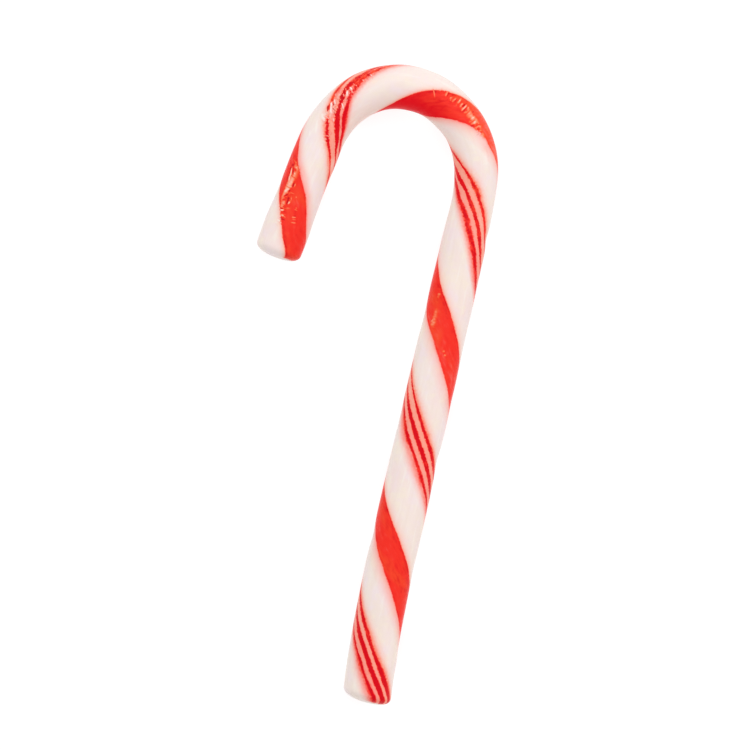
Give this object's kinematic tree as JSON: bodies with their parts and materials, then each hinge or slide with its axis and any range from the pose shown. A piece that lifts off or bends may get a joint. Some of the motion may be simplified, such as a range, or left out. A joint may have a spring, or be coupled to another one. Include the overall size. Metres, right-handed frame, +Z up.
{
  "type": "candy cane",
  "caption": "Round boiled-sugar stick with one end bent round into a hook-shaped crook, striped red on white; eaten as a sweet or hung by the crook.",
  "frame": {"origin": "middle of the outline seen from above, on the surface that the cane lies on", "axes": "+X across the cane, from the hook's tip towards the shaft; +Y along the shaft, from the cut foot towards the crook; +Z up, out of the side that shows"},
  "size_m": [0.0552, 0.15, 0.0113],
  "materials": {
    "sugar": "glossy pulled sugar, warm white with red stripes wound round it"
  },
  "bodies": {
    "root": {"cane": "sugar"}
  },
  "joints": []
}
